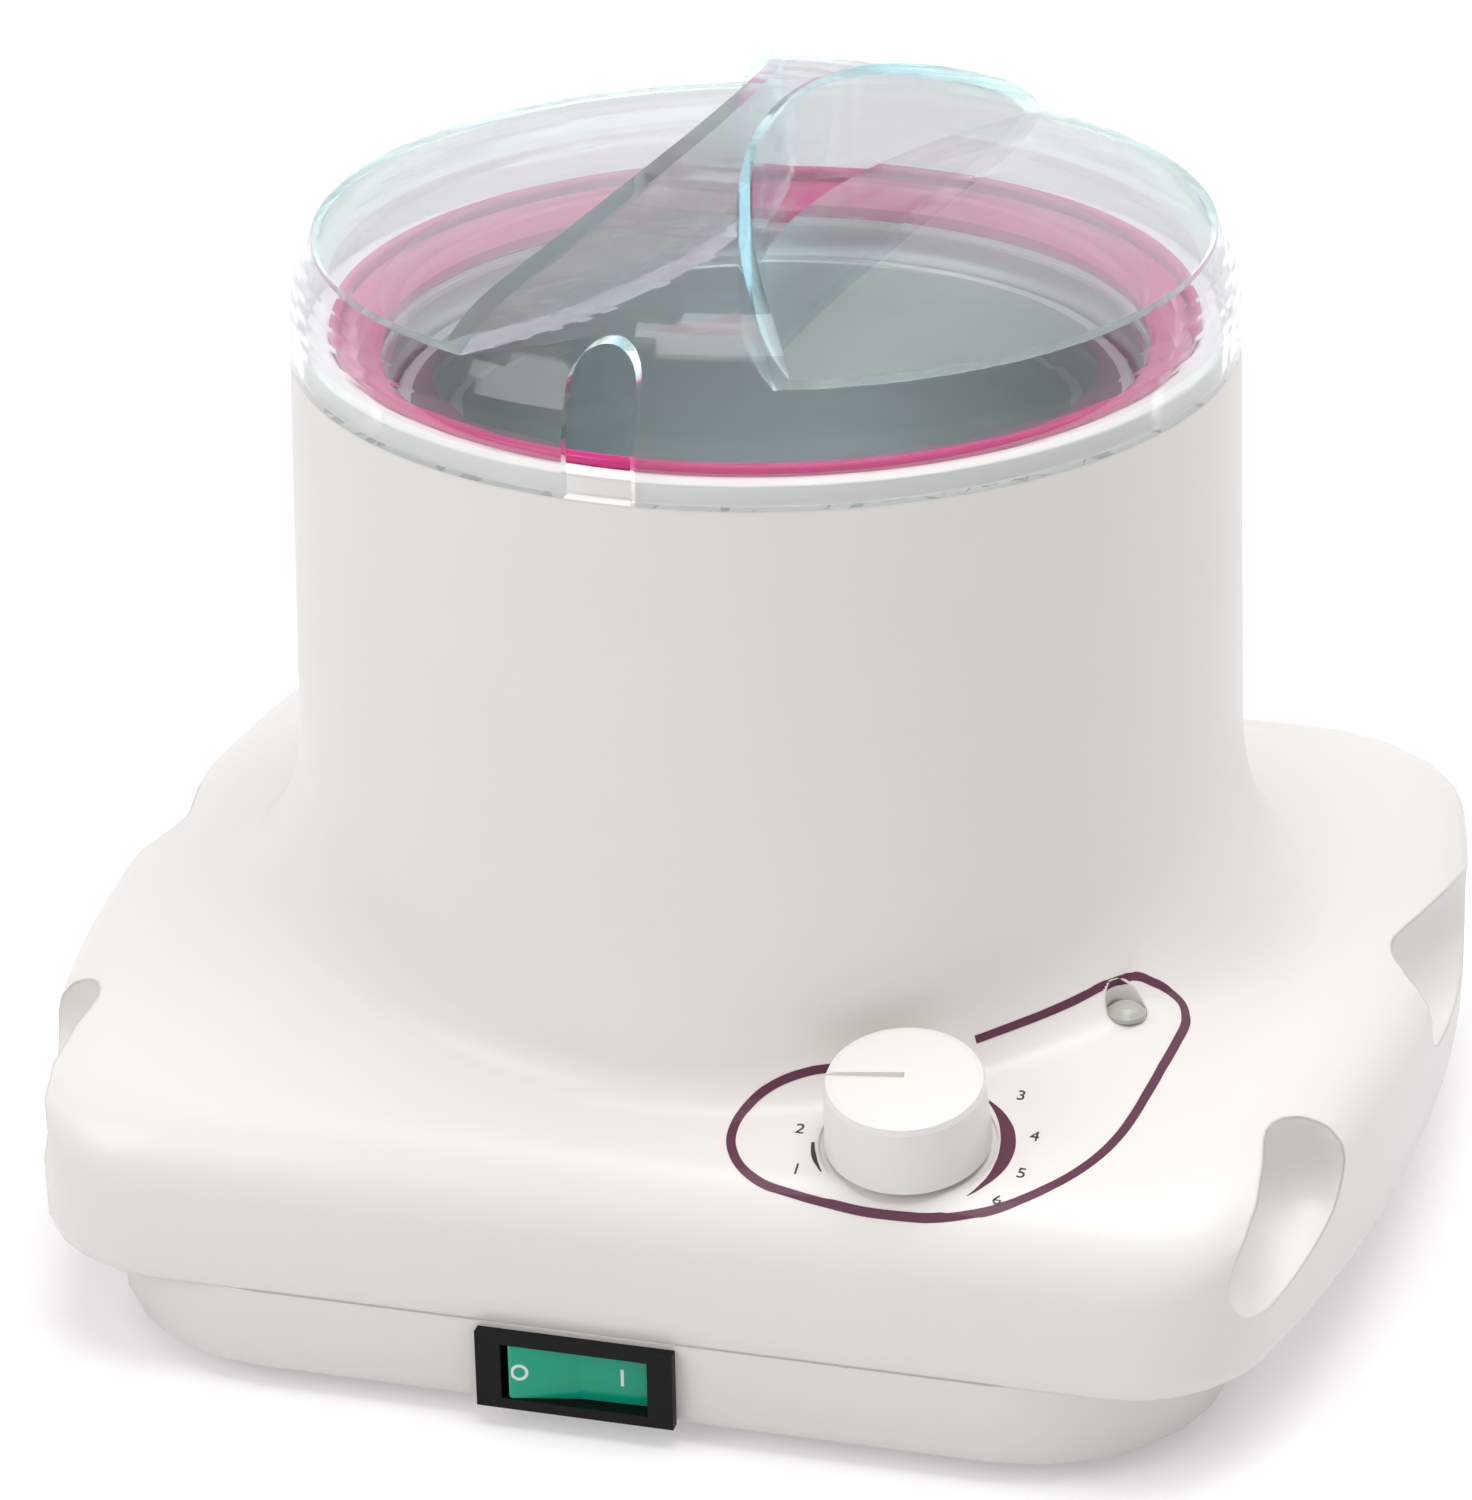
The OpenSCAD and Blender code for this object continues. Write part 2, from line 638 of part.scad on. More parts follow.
// Split band with two clamp tabs
module heater_band() {
    r0 = well_outer_r + 0.05;
    color("#8d8a86") on_tower(band_z) rotate([0, 0, clamp_turn]) difference() {
        union() {
            difference() {
                cylinder(r = r0 + band_t, h = band_h);
                translate([0, 0, -1]) cylinder(r = r0, h = band_h + 2);
                translate([r0, 0, band_h / 2]) cube([20, clamp_gap, band_h + 2], center = true);
            }
            for (s = [-1, 1]) {
                translate([r0 + 0.6, s * (clamp_gap / 2 + tab_t / 2) - tab_t / 2, (band_h - tab_h) / 2])
                    cube([tab_out, tab_t, tab_h]);
            }
        }
        translate([r0 + tab_out - 2.6, 0, band_h / 2]) rotate([90, 0, 0])
            cylinder(r = 1.6, h = 3 * clamp_gap, center = true, $fn = 24);
    }
}

module at_clamp() {
    on_tower(band_z + band_h / 2) rotate([0, 0, clamp_turn])
        translate([well_outer_r + 0.05 + tab_out - 2.6, 0, 0]) rotate([90, 0, 0]) children();
}

module clamp_screw() {
    reach = clamp_gap / 2 + tab_t;
    color("#c3a24a") at_clamp() union() {
        translate([0, 0, -reach - 3]) cylinder(r = 1.5, h = 2 * reach + 3, $fn = 24);
        translate([0, 0, reach]) cylinder(r = 2.6, h = 2, $fn = 32);
    }
}

module clamp_nut() {
    reach = clamp_gap / 2 + tab_t;
    color("#c3a24a") at_clamp() translate([0, 0, -reach - 2.5]) difference() {
        cylinder(r = 2.9, h = 2.2, $fn = 6);
        translate([0, 0, -1]) cylinder(r = 1.5 + run_fit, h = 5, $fn = 24);
    }
}

// Insulating mat wrapped round the band, open at the clamp
module insulation_mat() {
    r0 = well_outer_r + band_t + 0.2;
    color("#e6e1d6") on_tower(band_z - 2) rotate([0, 0, clamp_turn]) difference() {
        cylinder(r = r0 + mat_t, h = band_h + 4);
        translate([0, 0, -1]) cylinder(r = r0, h = band_h + 6);
        translate([r0, 0, band_h / 2 + 2]) cube([30, clamp_gap + 14, band_h + 8], center = true);
    }
}

module three_posts() {
    for (a = [30, 150, 270]) {
        rotate([0, 0, a]) translate([post_ring_r, 0, 0]) children();
    }
}

module heat_shield() {
    color("#a9adb1") on_tower(shield_z) difference() {
        union() {
            cylinder(r = shield_r, h = shield_t);
            difference() {
                cylinder(r = shield_r, h = 6);
                translate([0, 0, -1]) cylinder(r = shield_r - shield_t, h = 8);
            }
        }
        three_posts() translate([0, 0, -1]) cylinder(r = 2, h = 4, $fn = 24);
    }
}

module shield_posts() {
    low = foot_h + wall;
    color("#d8d4c8") on_tower() three_posts() union() {
        translate([0, 0, low]) cylinder(r = post_r, h = shield_z - low, $fn = 32);
        translate([0, 0, shield_z - 1]) cylinder(r = 1.9, h = shield_t + 3, $fn = 24);
    }
}

module well_spacers() {
    low = shield_z + shield_t;
    color("#efe9da") on_tower() three_posts() difference() {
        translate([0, 0, low]) cylinder(r = post_r, h = well_bottom_z - low, $fn = 32);
        translate([0, 0, low - 1]) cylinder(r = 2, h = 4, $fn = 24);
    }
}

// Outline of the lid, thinned by t
function lid_profile(t) =
    let (a = lid_r - lid_round_r,
         s = (a * a + pow(lid_side_h - lid_h, 2) - lid_round_r * lid_round_r)
             / (2 * (lid_h - lid_side_h - lid_round_r)),
         zc = lid_h - s,
         b = atan2(lid_side_h - zc, a))
    concat([[0, 0], [lid_r - t, 0]],
        arc_pts(a, lid_side_h, lid_round_r - t, 0, b, 10),
        [for (i = [1:10]) let (c = b + (90 - b) * i / 10) [(s - t) * cos(c), zc + (s - t) * sin(c)]]);

// Solid form of the lid, with its two scooped floors
module lid_form(t) {
    difference() {
        rotate_extrude() polygon(lid_profile(t));
        for (s = [-1, 1]) {
            translate([s * (waist + scoop_r), 0, scoop_h - t])
                cylinder(r = scoop_r + t, h = lid_h, $fn = 180);
        }
    }
}

module lid() {
    color("#dfeeee", 0.35) on_tower(rim_z) rotate([0, 0, lid_turn]) difference() {
        lid_form(0);
        translate([0, 0, -eps]) lid_form(lid_wall);
        // Notch that a spatula handle stands in
        translate([-notch_w / 2, -lid_r - 2, -1]) cube([notch_w, 20, notch_h - notch_w / 2 + 1]);
        translate([0, -lid_r - 2, notch_h - notch_w / 2]) rotate([-90, 0, 0])
            cylinder(r = notch_w / 2, h = 20, $fn = 48);
    }
}

module thermostat_body() {
    color("#3a3a3c") on_panel() difference() {
        union() {
            translate([0, 0, -panel_t - 0.05 - thermostat_h])
                cylinder(r = thermostat_r, h = thermostat_h - thermostat_top_h);
            translate([0, 0, -panel_t - 1 - thermostat_top_h])
                cylinder(r = bush_r + 0.4, h = thermostat_top_h + 0.7);
            translate([0, 0, -panel_t - 1]) cylinder(r = bush_r, h = panel_t + 1 + bush_top, $fn = 48);
        }
        translate([0, 0, -panel_t - 4]) cylinder(r = shaft_r + run_fit, h = 20, $fn = 48);
    }
}

module thermostat_nut() {
    color("#c8c9cc") on_panel() difference() {
        translate([0, 0, 0.05]) cylinder(d = nut_flats / cos(30), h = 2.5, $fn = 6);
        translate([0, 0, -1]) cylinder(r = bush_r + 0.03, h = 6, $fn = 48);
    }
}

// Shaft with a flat for the knob
module thermostat_shaft() {
    color("#d5d6d8") on_panel() difference() {
        translate([0, 0, -panel_t - 3.9]) cylinder(r = shaft_r, h = panel_t + 3.9 + knob_h - 3, $fn = 48);
        translate([shaft_r * 0.6, -shaft_r, bush_top + 1]) cube([shaft_r, 2 * shaft_r, knob_h]);
    }
}

module thermostat_terminals() {
    color("#d0c9a8") on_panel() for (s = [-1, 1]) {
        translate([s * thermostat_tab_x - 3.15, -6, -panel_t - 0.05 - thermostat_h - tab_len])
            cube([6.3, 0.8, tab_len]);
    }
}

module control_knob() {
    hub_r = shaft_r + 2.2;
    top = knob_lift + knob_h;
    under = top - knob_top_t;
    color("#f4f1ec") on_panel() difference() {
        rotate_extrude() polygon([
            [shaft_r + 0.04, bush_top + 0.6],
            [hub_r, bush_top + 0.6],
            [hub_r, under],
            [knob_r - 2, under],
            [knob_r - 1.8, knob_lift],
            [knob_r, knob_lift],
            [knob_r - 0.5, top - 1.4],
            [knob_r - 0.9, top - 0.4],
            [knob_r - 1.9, top],
            [0, top + 0.3],
            [0, under],
            [shaft_r + 0.04, under]]);
        // Pointer groove
        rotate([0, 0, 188]) translate([0, -0.7, top - 0.6]) cube([knob_r + 1, 1.4, 2]);
    }
    // Flat that keys the knob to the shaft
    color("#f4f1ec") on_panel() intersection() {
        translate([0, 0, bush_top + 0.6 + 1.2])
            cylinder(r = shaft_r + 0.3, h = under - bush_top - 1.8 + eps, $fn = 48);
        translate([shaft_r * 0.6 + 0.05, -shaft_r, 0]) cube([shaft_r, 2 * shaft_r, top - 1]);
    }
}

module capillary_tube() {
    start = panel_point([-thermostat_r - 0.15, 0, -panel_t - thermostat_h + 3]);
    end = [bulb_len / 2 + 0.1, bulb_y, well_bottom_z - bulb_r - 0.1];
    color("#b4713c") curved_tube(start, start + [-14, 0, -4], end + [26, 0, -3], end, 0.8, 20);
}

module sensor_bulb() {
    color("#b4713c") translate([-bulb_len / 2, bulb_y, well_bottom_z - bulb_r - 0.1])
        rotate([0, 90, 0]) cylinder(r = bulb_r, h = bulb_len, $fn = 48);
}

// Saddle that holds the bulb against the underside of the well
module bulb_clip() {
    r = bulb_r + 0.1;
    color("#b0b3b7") translate([0, bulb_y, well_bottom_z]) difference() {
        union() {
            translate([-6, -r - 1, -2 * r - 1]) cube([12, 2 * r + 2, 2 * r + 1]);
            translate([-6, -r - 7, -1]) cube([12, 2 * r + 14, 1]);
        }
        translate([-10, 0, -bulb_r - 0.1]) rotate([0, 90, 0]) cylinder(r = r, h = 20, $fn = 48);
        translate([-10, -r, -bulb_r - 0.1]) cube([20, 2 * r, 10]);
    }
}

module at_fuse() {
    on_tower(well_bottom_z + 7) rotate([0, 0, fuse_turn])
        translate([well_outer_r + fuse_r + 0.1, 0, 0]) children();
}

module thermal_fuse() {
    color("#d9d4c0") at_fuse() cylinder(r = fuse_r, h = fuse_len, $fn = 32);
}

module fuse_clip() {
    color("#b0b3b7") difference() {
        at_fuse() translate([-fuse_r - 0.1, -6, 3]) cube([2 * fuse_r + 1.2, 12, 6]);
        at_fuse() translate([0, 0, -1]) cylinder(r = fuse_r + 0.05, h = fuse_len + 2, $fn = 32);
        at_fuse() translate([-fuse_r - 3, -fuse_r - 0.05, -1])
            cube([fuse_r + 3, 2 * fuse_r + 0.1, fuse_len + 2]);
        on_tower(well_bottom_z) cylinder(r = well_outer_r + 0.05, h = 40);
        at_fuse() for (s = [-1, 1]) {
            translate([0, s * 5.2 - 1.8, 0]) cube([9, 3.6, fuse_len]);
        }
    }
}

module indicator_lens() {
    color("#cfd8cc", 0.8) translate([lamp_cx, lamp_y, lamp_z]) rotate_extrude($fn = 48) polygon([
        [0, -4],
        [lens_stem_r, -4],
        [lens_stem_r, 0.3],
        [lens_r, 0.3],
        [lens_r, 1],
        [lens_r - 0.8, 1.7],
        [lens_r / 2, 2.2],
        [0, 2.4]]);
}

module lamp_holder() {
    color("#e8e4da") translate([lamp_cx, lamp_y, lamp_z]) difference() {
        translate([0, 0, -wall - 1.4 - 14]) cylinder(r = lens_stem_r + 1.2, h = 14, $fn = 48);
        translate([0, 0, -wall - 1 - 15]) cylinder(r = lens_stem_r + 0.05, h = 20, $fn = 48);
    }
}

module neon_lamp() {
    color("#e39a5a") translate([lamp_cx, lamp_y, lamp_z - wall - 13])
        cylinder(r = lens_stem_r - 0.1, h = 10, $fn = 32);
}

module at_switch() {
    translate([switch_x, tray_front_y, switch_z]) children();
}

module at_pivot_local() {
    translate([0, pivot_depth - switch_proud, 0]) children();
}
module at_pivot() {
    at_switch() at_pivot_local() children();
}

module switch_frame() {
    window_w = rocker_len + 1.4;
    window_h = rocker_tall + 0.3;
    color("#141416") at_switch() difference() {
        union() {
            translate([-switch_w / 2, -switch_proud - 0.4, -switch_h / 2])
                cube([switch_w, switch_proud + 0.4, switch_h]);
            translate([-switch_body_w / 2, -1, -switch_body_h / 2])
                cube([switch_body_w, switch_depth + 1, switch_body_h]);
        }
        translate([-window_w / 2, -5, -window_h / 2]) cube([window_w, 5 + pivot_depth + 4.5, window_h]);
        at_pivot_local() translate([0, 0, -switch_h])
            cylinder(r = pivot_r + run_fit, h = 2 * switch_h, $fn = 32);
    }
}

module rocker() {
    half = rocker_len / 2;
    color("#0d9a62") at_pivot() rotate([0, 0, rocker_swing]) union() {
        translate([0, 0, -rocker_tall / 2]) linear_extrude(rocker_tall)
            polygon(concat([[-half, -1], [-half, -3.4], [-half + 0.5, -3.7], [0, -2.7],
                            [half - 0.5, -3.7], [half, -3.4], [half, -1]],
                           arc_pts(0, 0, 3, 10, 170, 8)));
        translate([0, 0, -rocker_tall / 2 - 0.6]) cylinder(r = pivot_r, h = rocker_tall + 1.2, $fn = 32);
    }
}

module switch_terminals() {
    color("#d0c9a8") at_switch() for (i = [-1:1]) {
        translate([i * switch_tab_x - 0.4, switch_depth, -2.4]) cube([0.8, tab_len, 4.8]);
    }
}

module terminal_block() {
    color("#e9e6de") translate([block_x, block_y, foot_h + wall]) difference() {
        translate([-block_size.x / 2, -block_size.y / 2, 0]) cube(block_size);
        for (i = [-1:1]) {
            translate([i * 11, 0, 5]) rotate([90, 0, 0]) cylinder(r = 1.6, h = 40, center = true, $fn = 24);
            for (s = [-1, 1]) {
                translate([i * 11, s * 5, block_size.z - 3]) cylinder(r = 2.6, h = 5, $fn = 32);
            }
        }
    }
}

module terminal_screws() {
    color("#c3a24a") translate([block_x, block_y, foot_h + wall]) for (i = [-1:1], s = [-1, 1]) {
        translate([i * 11, s * 5, block_size.z - 3]) difference() {
            cylinder(r = 2.4, h = 2.2, $fn = 32);
            translate([0, 0, 2.2]) cube([6, 0.7, 1.4], center = true);
        }
    }
}

// Bushing in the rear wall of the tray, flush with the housing above it
module cord_gland() {
    reach = wall + 4;
    color("#232325") translate([gland_x, tray_rear_y, switch_z]) rotate([90, 0, 0]) difference() {
        union() {
            translate([0, 0, -2]) cylinder(r = gland_flange_r, h = 2);
            cylinder(r = gland_body_r, h = reach);
            translate([0, 0, wall + 0.1])
                cylinder(r1 = snap_r, r2 = gland_body_r - 0.2, h = reach - wall - 0.1);
        }
        translate([0, 0, -4]) cylinder(r = gland_r, h = reach + 8);
    }
}

// Leads between the terminal block, the switch, the thermostat and the heater
module internal_wires() {
    r = 1.1;
    block_front = [block_x, block_y - block_size.y / 2, foot_h + wall + 5];
    tab_y = tray_front_y + switch_depth + tab_len;
    tab_end = [for (i = [-1:1]) [switch_x + i * switch_tab_x, tab_y, switch_z]];
    stat = [for (s = [-1, 1])
        panel_point([s * thermostat_tab_x, -5.6, -panel_t - 0.05 - thermostat_h - tab_len])];
    color("#a33b2c") curved_tube(tab_end[0], tab_end[0] + [0, 26, 0],
                                 block_front + [-11, -50, 2], block_front + [-11, 0, 0], r);
    color("#a33b2c") curved_tube(tab_end[2], tab_end[2] + [0, 14, 0], stat[0] + [0, 2, -14], stat[0], r);
    color("#3566a8") curved_tube(tab_end[1], tab_end[1] + [0, 26, 0],
                                 block_front + [0, -50, 0], block_front, r);
    color("#3566a8") curved_tube(stat[1], stat[1] + [0, 2, -12], lead_turn, lead_end, r);
}

base_tray();
upper_housing();
collar_ring();
well_gasket();
heater_well();
wax_pot();
heater_band();
clamp_screw();
clamp_nut();
insulation_mat();
heat_shield();
shield_posts();
well_spacers();
lid();
thermostat_body();
thermostat_terminals();
thermostat_nut();
thermostat_shaft();
capillary_tube();
sensor_bulb();
bulb_clip();
thermal_fuse();
fuse_clip();
control_knob();
indicator_lens();
lamp_holder();
neon_lamp();
switch_frame();
rocker();
switch_terminals();
terminal_block();
terminal_screws();
cord_gland();
internal_wires();
rubber_feet();
housing_screws();
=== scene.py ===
import math

import bmesh
import bpy
from mathutils import Matrix, Vector
from mathutils.bvhtree import BVHTree


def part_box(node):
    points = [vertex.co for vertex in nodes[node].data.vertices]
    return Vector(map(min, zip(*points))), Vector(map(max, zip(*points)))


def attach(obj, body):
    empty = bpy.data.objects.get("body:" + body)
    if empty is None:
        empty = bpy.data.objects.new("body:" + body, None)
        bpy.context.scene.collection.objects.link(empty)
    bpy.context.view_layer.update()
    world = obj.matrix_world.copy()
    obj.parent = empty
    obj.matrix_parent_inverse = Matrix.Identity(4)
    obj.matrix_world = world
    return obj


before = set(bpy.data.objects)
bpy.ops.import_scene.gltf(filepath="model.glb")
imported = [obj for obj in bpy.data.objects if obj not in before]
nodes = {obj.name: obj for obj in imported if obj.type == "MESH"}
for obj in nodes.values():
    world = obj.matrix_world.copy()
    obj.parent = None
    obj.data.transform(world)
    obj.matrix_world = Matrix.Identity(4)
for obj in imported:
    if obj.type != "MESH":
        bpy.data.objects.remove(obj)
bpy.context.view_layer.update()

MM = 0.001
TOWER_Y = sum(corner.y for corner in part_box("collar_ring")) / 2

# Colours, as linear RGB
WHITE = (0.80, 0.775, 0.745)
# The tray's white is the housing's white painted darker and pinker, as painted shade under the
# overhanging housing
TRAY_SHADED_WHITE = (0.775, 0.745, 0.715)
KNOB_WHITE = (0.82, 0.79, 0.76)
MARK_WHITE = (0.82, 0.84, 0.82)
MAGENTA = (0.50, 0.006, 0.155)
PLUM = (0.085, 0.008, 0.040)
INK = (0.02, 0.022, 0.025)
GREEN = (0.003, 0.430, 0.270)
LID_FACING = (0.82, 0.805, 0.805)
LID_EDGE_ON = (0.58, 0.64, 0.67)
LID_DEPTH = (0.30, 0.72, 0.80)
LID_SHADOW = (0.96, 0.975, 0.975)
FLOOR_GREY = (0.78, 0.78, 0.78)
SKY = (1.0, 0.985, 0.97)


# Shader nodes


class Nodes:
    """The shader nodes of a material or of the world, with an output of the given kind."""

    def __init__(self, tree, output):
        self.tree = tree
        self.tree.nodes.clear()
        self.out = self.add(output)

    def add(self, kind, **values):
        made = self.tree.nodes.new("ShaderNode" + kind)
        for key, value in values.items():
            self.set(made, key, value)
        return made

    def set(self, made, key, value):
        """Sets or links a node's input, or sets its property where it has no such input."""
        socket = made.inputs[key] if key in made.inputs else None
        if socket is None:
            setattr(made, key, value)
        elif isinstance(value, bpy.types.NodeSocket):
            self.link(value, socket)
        else:
            socket.default_value = value

    def link(self, source, target):
        self.tree.links.new(source, target)

    def math(self, operation, first, second):
        """The result of a Math node with two linked inputs."""
        made = self.add("Math", operation=operation)
        self.link(first, made.inputs[0])
        self.link(second, made.inputs[1])
        return made.outputs[0]

    def mix(self, factor, first, second):
        """The first shader where the factor is 0, and the second where it is 1."""
        made = self.add("MixShader", Fac=factor)
        self.link(first.outputs[0], made.inputs[1])
        self.link(second.outputs[0], made.inputs[2])
        return made.outputs[0]

    def seen(self):
        """1 for a ray from the camera, a mirror or clear plastic, and 0 for the light on the object."""
        path = self.add("LightPath").outputs
        direct = self.math("MAXIMUM", path["Is Camera Ray"], path["Is Glossy Ray"])
        return self.math("MAXIMUM", direct, path["Is Transmission Ray"])


class Shader(Nodes):
    """One procedural material; its texture space is the object's own, in metres."""

    def __init__(self, name):
        self.material = bpy.data.materials.new(name)
        self.material.use_nodes = True
        super().__init__(self.material.node_tree, "OutputMaterial")
        self.coords = self.add("TexCoord").outputs["Object"]

    def noise(self, scale, detail=2.0, rough=0.5, vector=None):
        made = self.add("TexNoise", Scale=scale, Detail=detail, Roughness=rough)
        self.link(vector or self.coords, made.inputs["Vector"])
        return made.outputs["Fac"]

    def ramp(self, value, start, end, low, high):
        """A number that runs gently from low to high as the value goes from start to end."""
        limits = {"Value": value, "From Min": start, "From Max": end, "To Min": low, "To Max": high}
        return self.add("MapRange", interpolation_type="SMOOTHSTEP", **limits).outputs["Result"]

    def between(self, noise, low, high):
        """A number from low to high with a noise, which seldom leaves the range from 0.2 to 0.8."""
        return self.ramp(noise, 0.2, 0.8, low, high)

    def around(self, noise, value, spread):
        """A number within the spread of a value."""
        return self.between(noise, value - spread, value + spread)

    def blend(self, factor, first, second):
        """A colour that runs from the first to the second with a factor from 0 to 1."""
        made = self.add("Mix", data_type="RGBA")
        self.link(factor, made.inputs["Factor"])
        made.inputs[6].default_value = (*first, 1)
        made.inputs[7].default_value = (*second, 1)
        return made.outputs[2]

    def tint(self, noise, colour, spread):
        """The colour, a little darker and lighter with the noise."""
        return self.blend(self.between(noise, 0, 1), [c * (1 - spread) for c in colour],
                          [min(1, c * (1 + spread)) for c in colour])

    def bump(self, height, distance, normal=None):
        made = self.add("Bump", Strength=1.0, Distance=distance, Height=height)
        if normal is not None:
            self.link(normal, made.inputs["Normal"])
        return made.outputs["Normal"]

    def length(self, vector):
        made = self.add("VectorMath", operation="LENGTH")
        self.link(vector, made.inputs[0])
        return made.outputs["Value"]

    def round_tower(self):
        """Texture space that runs round the tower's axis, for marks left by turning or spinning."""
        split = self.add("SeparateXYZ", Vector=self.coords)
        y = self.add("Math", operation="SUBTRACT")
        self.link(split.outputs["Y"], y.inputs[0])
        y.inputs[1].default_value = TOWER_Y
        flat = self.add("CombineXYZ", X=split.outputs["X"], Y=y.outputs[0])
        return self.add("CombineXYZ", X=self.length(flat.outputs[0]), Y=split.outputs["Z"]).outputs[0]

    def principled(self, **values):
        surface = self.add("BsdfPrincipled", **values)
        self.link(surface.outputs[0], self.out.inputs["Surface"])
        return surface


# Materials


def plastic(name, colour, rough, spread=0.015, grain=900.0, grain_depth=0.006, wave=45.0, wave_depth=0.02,
            edge=0.0, **more):
    """Moulded plastic: faint flow in its colour, a fine grain and the slow waves of a moulded skin.

    Depths are in millimetres, and so is edge, the radius that its sharp edges seem rounded by.
    """
    s = Shader(name)
    flow = s.noise(14, 3)
    fine = s.noise(grain, 2)
    slow = s.noise(wave, 1)
    soft = s.add("Bevel", Radius=edge * MM).outputs["Normal"] if edge else None
    normal = s.bump(fine, grain_depth * MM, s.bump(slow, wave_depth * MM, soft))
    s.principled(**{"Base Color": s.tint(flow, colour, spread),
                    "Roughness": s.around(s.noise(60, 3), rough, 0.03),
                    "Normal": normal, **more})
    return s.material


def metal(name, colour, rough, spread=0.05, spun=False, marks=900.0, depth=0.01):
    """Sheet, wire or turned metal, with fine marks that follow the turning where it is spun."""
    s = Shader(name)
    space = s.round_tower() if spun else s.coords
    lines = s.noise(marks, 3, 0.6, space)
    cloud = s.noise(25, 3)
    s.principled(**{"Base Color": s.tint(cloud, colour, spread), "Metallic": 1.0,
                    "Roughness": s.around(lines, rough, 0.06),
                    "Normal": s.bump(lines, depth * MM)})
    return s.material


def clear_plastic(name):
    """Clear acrylic that turns teal where light runs a long way through it."""
    s = Shader(name)
    slow = s.noise(30, 1)
    rim = s.add("LayerWeight", Blend=0.35).outputs["Facing"]
    glass = s.principled(**{"Base Color": s.blend(rim, LID_FACING, LID_EDGE_ON),
                            "Transmission Weight": 1.0, "IOR": 1.16, "Alpha": 0.85,
                            "Coat Weight": 1.0, "Coat IOR": 1.4, "Coat Roughness": 0.02,
                            "Roughness": s.between(s.noise(120, 2), 0.004, 0.012),
                            "Normal": s.bump(slow, 0.01 * MM)})
    # Lamps shine through the clear plastic
    open_way = s.add("BsdfTransparent", Color=(*LID_SHADOW, 1))
    shadow = s.add("LightPath").outputs["Is Shadow Ray"]
    s.link(s.mix(shadow, glass, open_way), s.out.inputs["Surface"])
    depth = s.add("VolumeAbsorption", Color=(*LID_DEPTH, 1), Density=20.0)
    s.link(depth.outputs[0], s.out.inputs["Volume"])
    return s.material


def woven(name, colour, rough=0.9, threads=700.0, depth=0.12):
    """Glass cloth over an insulating mat."""
    s = Shader(name)
    weave = s.add("TexWave", Scale=threads, Distortion=0.4, Detail=1.0)
    s.link(s.coords, weave.inputs["Vector"])
    s.principled(**{"Base Color": s.tint(s.noise(60, 4), colour, 0.08), "Roughness": rough,
                    "Normal": s.bump(weave.outputs["Fac"], depth * MM)})
    return s.material


def ink(name, colour):
    """Printed ink, slightly mottled."""
    return plastic(name, colour, 0.42, spread=0.12, grain=1600, wave_depth=0.0)


finishes = {
    "housing_plastic": plastic("housing_plastic", WHITE, 0.33, edge=1.0),
    "magenta_plastic": plastic("magenta_plastic", MAGENTA, 0.22, spread=0.05),
    "silicone": plastic("silicone", (0.62, 0.60, 0.56), 0.55),
    "aluminium_sheet": metal("aluminium_sheet", (0.62, 0.64, 0.66), 0.34, spun=True),
    "aluminium_pot": metal("aluminium_pot", (0.70, 0.75, 0.765), 0.35, spun=True, marks=500, depth=0.001),
    "heater_steel": metal("heater_steel", (0.36, 0.34, 0.32), 0.42, spread=0.15),
    "brass_screws": metal("brass_screws", (0.62, 0.43, 0.16), 0.35),
    "insulation": woven("insulation", (0.66, 0.62, 0.54)),
    "shield_sheet": metal("shield_sheet", (0.60, 0.62, 0.64), 0.38),
    "ceramic": plastic("ceramic", (0.80, 0.76, 0.68), 0.45, grain_depth=0.02),
    "clear_plastic": clear_plastic("clear_plastic"),
    "black_plastic": plastic("black_plastic", (0.004, 0.0045, 0.0045), 0.42, grain_depth=0.012,
                             **{"Specular IOR Level": 0.15}),
    "contact_metal": metal("contact_metal", (0.70, 0.66, 0.52), 0.35),
    "plated_steel": metal("plated_steel", (0.64, 0.65, 0.66), 0.20),
    "copper": metal("copper", (0.72, 0.32, 0.18), 0.35, spread=0.1),
    "knob_plastic": plastic("knob_plastic", KNOB_WHITE, 0.36),
    "lens_plastic": plastic("lens_plastic", (0.52, 0.53, 0.47), 0.18,
                            **{"Transmission Weight": 0.15, "IOR": 1.5}),
    "white_nylon": plastic("white_nylon", (0.72, 0.70, 0.64), 0.5),
    "lamp_glass": plastic("lamp_glass", (0.75, 0.45, 0.25), 0.1, **{"Transmission Weight": 0.7}),
    "green_plastic": plastic("green_plastic", GREEN, 0.16,
                             **{"Transmission Weight": 0.15, "Specular IOR Level": 0.3}),
    "wire_insulation": plastic("wire_insulation", (0.42, 0.045, 0.03), 0.4),
    "black_rubber": plastic("black_rubber", (0.012, 0.012, 0.013), 0.7, grain_depth=0.03),
}
for node in nodes.values():
    for held in node.material_slots:
        held.material = finishes[held.material.name]
# The tray gets a copy of the housing plastic with painted shade: its white is painted darker and pinker
# than the housing's
nodes["base_tray"].material_slots[0].material = plastic("tray_plastic_painted_shade", TRAY_SHADED_WHITE, 0.34)


# Smooth skins

SMOOTH_BELOW = 34  # degrees between two faces
WELD = 0.002  # millimetres


